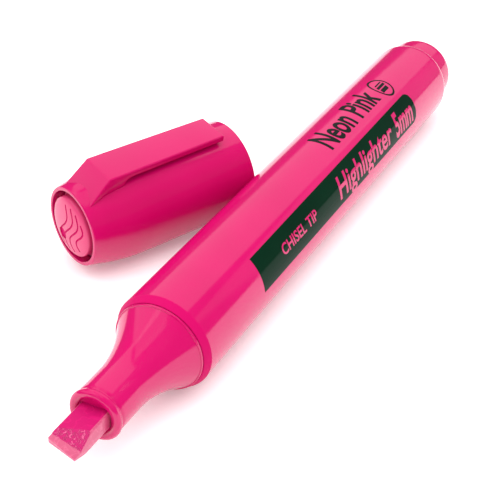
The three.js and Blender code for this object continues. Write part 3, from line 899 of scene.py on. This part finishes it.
# %% Pocket clip: round its edges and add cuts at the root
edge_round = clip.modifiers.new("edge_round", "BEVEL")
edge_round.width = 0.28 * MM
edge_round.segments = 4
edge_round.limit_method = "ANGLE"
edge_round.angle_limit = math.radians(25)
bpy.ops.object.modifier_apply(modifier="edge_round")
close_work(clip)
bpy.ops.object.mode_set(mode="EDIT")
along = (CAP.to_3x3() @ Vector((1, 0, 0))).normalized()
bend_cuts = [7.8 + 0.15 * i for i in range(9)]
for station in bend_cuts + [11, 14, 18, 22, 26]:
    bpy.ops.mesh.select_all(action="SELECT")
    bpy.ops.mesh.bisect(plane_co=CAP @ Vector((station, 0, 0)), plane_no=along)
bpy.ops.object.mode_set(mode="OBJECT")
smooth(clip, 35)
clip.data.materials.append(fluorescent_plastic)
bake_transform(clip)
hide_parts("pocket_clip")
print(clip.name, len(clip.data.polygons), "faces, cap to clip")

# %% [markdown]
# ## Printed marks
# The barrel carries a dark band with pink words in it and a line of dark lettering above. Here they
# are plain descriptive words and a ring with three strokes. An image would blur close up and needs
# a map, so each mark is a mesh. It is drawn flat, with the station along X and the distance round
# the barrel along Y, and cut into narrow strips so it can follow the curve. It gets its walls while
# it is still flat and thick, where faces are easy to turn outwards. Last it is wrapped on the
# barrel and thinned to a skin of ink.


# %% Helper: cut into strips, give walls, wrap round the barrel
SKIN, STRIP = 0.012, 0.35


def wrap_on_barrel(piece, lift):
    """Bends a flat mark (station, arc length, 0) in millimetres round the barrel."""
    take(piece)
    bpy.ops.object.transform_apply(location=True, rotation=True, scale=True)
    heights = [v.co.y for v in piece.data.vertices]
    bpy.ops.object.mode_set(mode="EDIT")
    line = math.ceil(min(heights) / STRIP) * STRIP
    while line < max(heights):
        bpy.ops.mesh.select_all(action="SELECT")
        bpy.ops.mesh.bisect(plane_co=(0, line, 0), plane_no=(0, 1, 0))
        line += STRIP
    bpy.ops.mesh.select_all(action="SELECT")
    bpy.ops.mesh.remove_doubles(threshold=0.001)
    bpy.ops.mesh.quads_convert_to_tris()
    bpy.ops.mesh.select_all(action="SELECT")
    bpy.ops.mesh.extrude_region_move(TRANSFORM_OT_translate={"value": (0, 0, 1)})
    bpy.ops.mesh.select_all(action="SELECT")
    bpy.ops.mesh.normals_make_consistent(inside=False)
    bpy.ops.object.mode_set(mode="OBJECT")
    for v in piece.data.vertices:
        turn = v.co.y / BARREL_R
        r = BARREL_R + lift + SKIN * v.co.z
        v.co = PEN @ Vector((v.co.x, r * math.sin(turn), r * math.cos(turn)))
    smooth(piece, 30)


# %% Helpers: lettering
SHARPEST = 0.6


def thicken_strokes(letters, weight):
    """Pushes the outline of flat lettering outwards. The letters are filled by then, so strokes
    that meet can't fold the fill. The points of very sharp corners stay, or they would shoot out."""
    flat = bmesh.new()
    flat.from_mesh(letters.data)
    bmesh.ops.remove_doubles(flat, verts=flat.verts, dist=0.002)
    bmesh.ops.recalc_face_normals(flat, faces=flat.faces)
    push = {}
    for edge in flat.edges:
        if len(edge.link_faces) == 1:
            corner_loop = edge.link_loops[0]
            run = corner_loop.link_loop_next.vert.co - corner_loop.vert.co
            outwards = run.cross(edge.link_faces[0].normal).normalized()
            for v in edge.verts:
                push.setdefault(v, []).append(outwards)
    for v, sides in push.items():
        both = sum(sides, Vector())
        if len(sides) == 2 and both.length > SHARPEST:
            v.co += both * 2 * weight / both.length_squared
    flat.to_mesh(letters.data)
    flat.free()


def words(name, text, size, at, length, shear=0.0, weight=0.0):
    """Plain lettering as a flat mesh of a given length, its baseline starting at
    (station, arc length)."""
    deselect()
    bpy.ops.object.text_add(location=(0, 0, 0))
    letters = bpy.context.object
    letters.name = name
    letters.data.body = text
    letters.data.size = size
    letters.data.shear = shear
    letters.data.resolution_u = 4
    bpy.ops.object.convert(target="MESH")
    letters = bpy.context.object
    thicken_strokes(letters, weight)
    low = min(v.co.x for v in letters.data.vertices)
    high = max(v.co.x for v in letters.data.vertices)
    for v in letters.data.vertices:
        v.co.x = at[0] + (v.co.x - low) * length / (high - low)
        v.co.y = at[1] + v.co.y
    print(name, "drawn", round(high - low, 2), "mm long and set to", length)
    return letters


def arc(degrees):
    """Distance round the barrel of an angle from the top."""
    return BARREL_R * math.radians(degrees)


# %% Dark band
BAND_FRONT, BAND_REAR, BAND_TOP, BAND_FOOT = 45.7, 113.9, arc(-41), arc(-84.5)
BAND_CORNER = 2.2
deselect()
bpy.ops.mesh.primitive_grid_add(x_subdivisions=140, y_subdivisions=18, size=1)
band = bpy.context.object
band.name = "printed_band"
middle, half = (BAND_TOP + BAND_FOOT) / 2, (BAND_TOP - BAND_FOOT) / 2
for v in band.data.vertices:
    station = BAND_FRONT + (v.co.x + 0.5) * (BAND_REAR - BAND_FRONT)
    past = max(0.0, station - (BAND_REAR - BAND_CORNER))
    reach = half - (BAND_CORNER - math.sqrt(max(0.0, BAND_CORNER ** 2 - past ** 2)))
    v.co = (station, middle + v.co.y * 2 * reach, 0)
wrap_on_barrel(band, SKIN)
use(band, band_ink, "pen", "pink_gloss")

# %% Words in the band, in the barrel's own colour
OVER_BAND = 0.03
small = words("word_small", "CHISEL TIP", 2.7, (53.7, arc(-69.5)), 13.4, weight=0.05)
large = words("word_large", "Highlighter", 5.6, (76.0, arc(-77)), 25.6, shear=0.25, weight=0.11)
width = words("word_width", "5mm", 6.4, (103.0, arc(-79)), 9.2, shear=0.25, weight=0.2)
for mark in (small, large, width):
    wrap_on_barrel(mark, OVER_BAND)
    use(mark, fluorescent_plastic, "pen", "pink_gloss")

# %% Dark lettering above the band
name_line = words("word_line", "Neon Pink", 7.4, (82.5, arc(-23.5)), 23.4, weight=0.17)
wrap_on_barrel(name_line, SKIN)
use(name_line, line_ink, "pen", "pink_gloss")


# %% The ring with three strokes
def flat_ring(name, at, reach, wall):
    """A flat ring round (station, arc length), oval by its two reaches."""
    deselect()
    bpy.ops.mesh.primitive_circle_add(vertices=96, radius=1, fill_type="NGON")
    ring = bpy.context.object
    ring.name = name
    bpy.ops.object.mode_set(mode="EDIT")
    bpy.ops.mesh.select_all(action="SELECT")
    bpy.ops.mesh.inset(thickness=wall / reach[0])
    bpy.ops.mesh.delete(type="FACE")
    bpy.ops.object.mode_set(mode="OBJECT")
    for v in ring.data.vertices:
        v.co = (at[0] + v.co.x * reach[0], at[1] + v.co.y * reach[1], 0)
    return ring


SIGN_AT, SIGN_REACH, SIGN_WALL, STROKE_LEAN = (109.8, arc(-12)), (2.45, 3.0), 0.36, 0.25
STROKES = ((-1.35, 0.9, 2.6), (-0.15, 0.6, 3.1), (0.75, 0.3, 2.6))
sign = flat_ring("sign_ring", SIGN_AT, SIGN_REACH, SIGN_WALL)
wrap_on_barrel(sign, SKIN)
use(sign, line_ink, "pen", "pink_gloss")
for number, (foot, tall, wide) in enumerate(STROKES):
    deselect()
    bpy.ops.mesh.primitive_grid_add(x_subdivisions=12, y_subdivisions=4, size=1)
    stroke = bpy.context.object
    stroke.name = f"sign_stroke_{number + 1}"
    for v in stroke.data.vertices:
        up = foot + (v.co.y + 0.5) * tall
        v.co = (SIGN_AT[0] + v.co.x * wide + STROKE_LEAN * up, SIGN_AT[1] + up, 0)
    wrap_on_barrel(stroke, SKIN)
    use(stroke, line_ink, "pen", "pink_gloss")

# %% [markdown]
# ## Floor
# A plain pale sheet, large enough to fill every view and to show in the plastic's lower edge. White
# paint alone turns grey under soft light. The sheet gives off a little light of its own, as paper
# on a light table does, so it stays pale and the shadows stay soft. It lies a hair below the part.

# %% Floor
deselect()
bpy.ops.mesh.primitive_plane_add(size=6, location=(0, 0, -0.00005))
floor = bpy.context.object
floor.name = "floor"
bpy.ops.object.transform_apply(location=True)
paper, tree, shader, place = new_material("floor_paper")
tooth = node(tree, "TexNoise", Scale=400.0, Detail=4.0)
tree.links.new(place, tooth.inputs["Vector"])
add_bump(tree, shader, tooth.outputs["Fac"], 0.05, 0.0002)
shader.inputs["Base Color"].default_value = (0.9, 0.9, 0.9, 1)
shader.inputs["Emission Color"].default_value = (1, 1, 1, 1)
shader.inputs["Emission Strength"].default_value = 0.2
shader.inputs["Roughness"].default_value = 0.9
shader.inputs["Specular IOR Level"].default_value = 0.1
floor.data.materials.append(paper)
print("floor", floor.name)
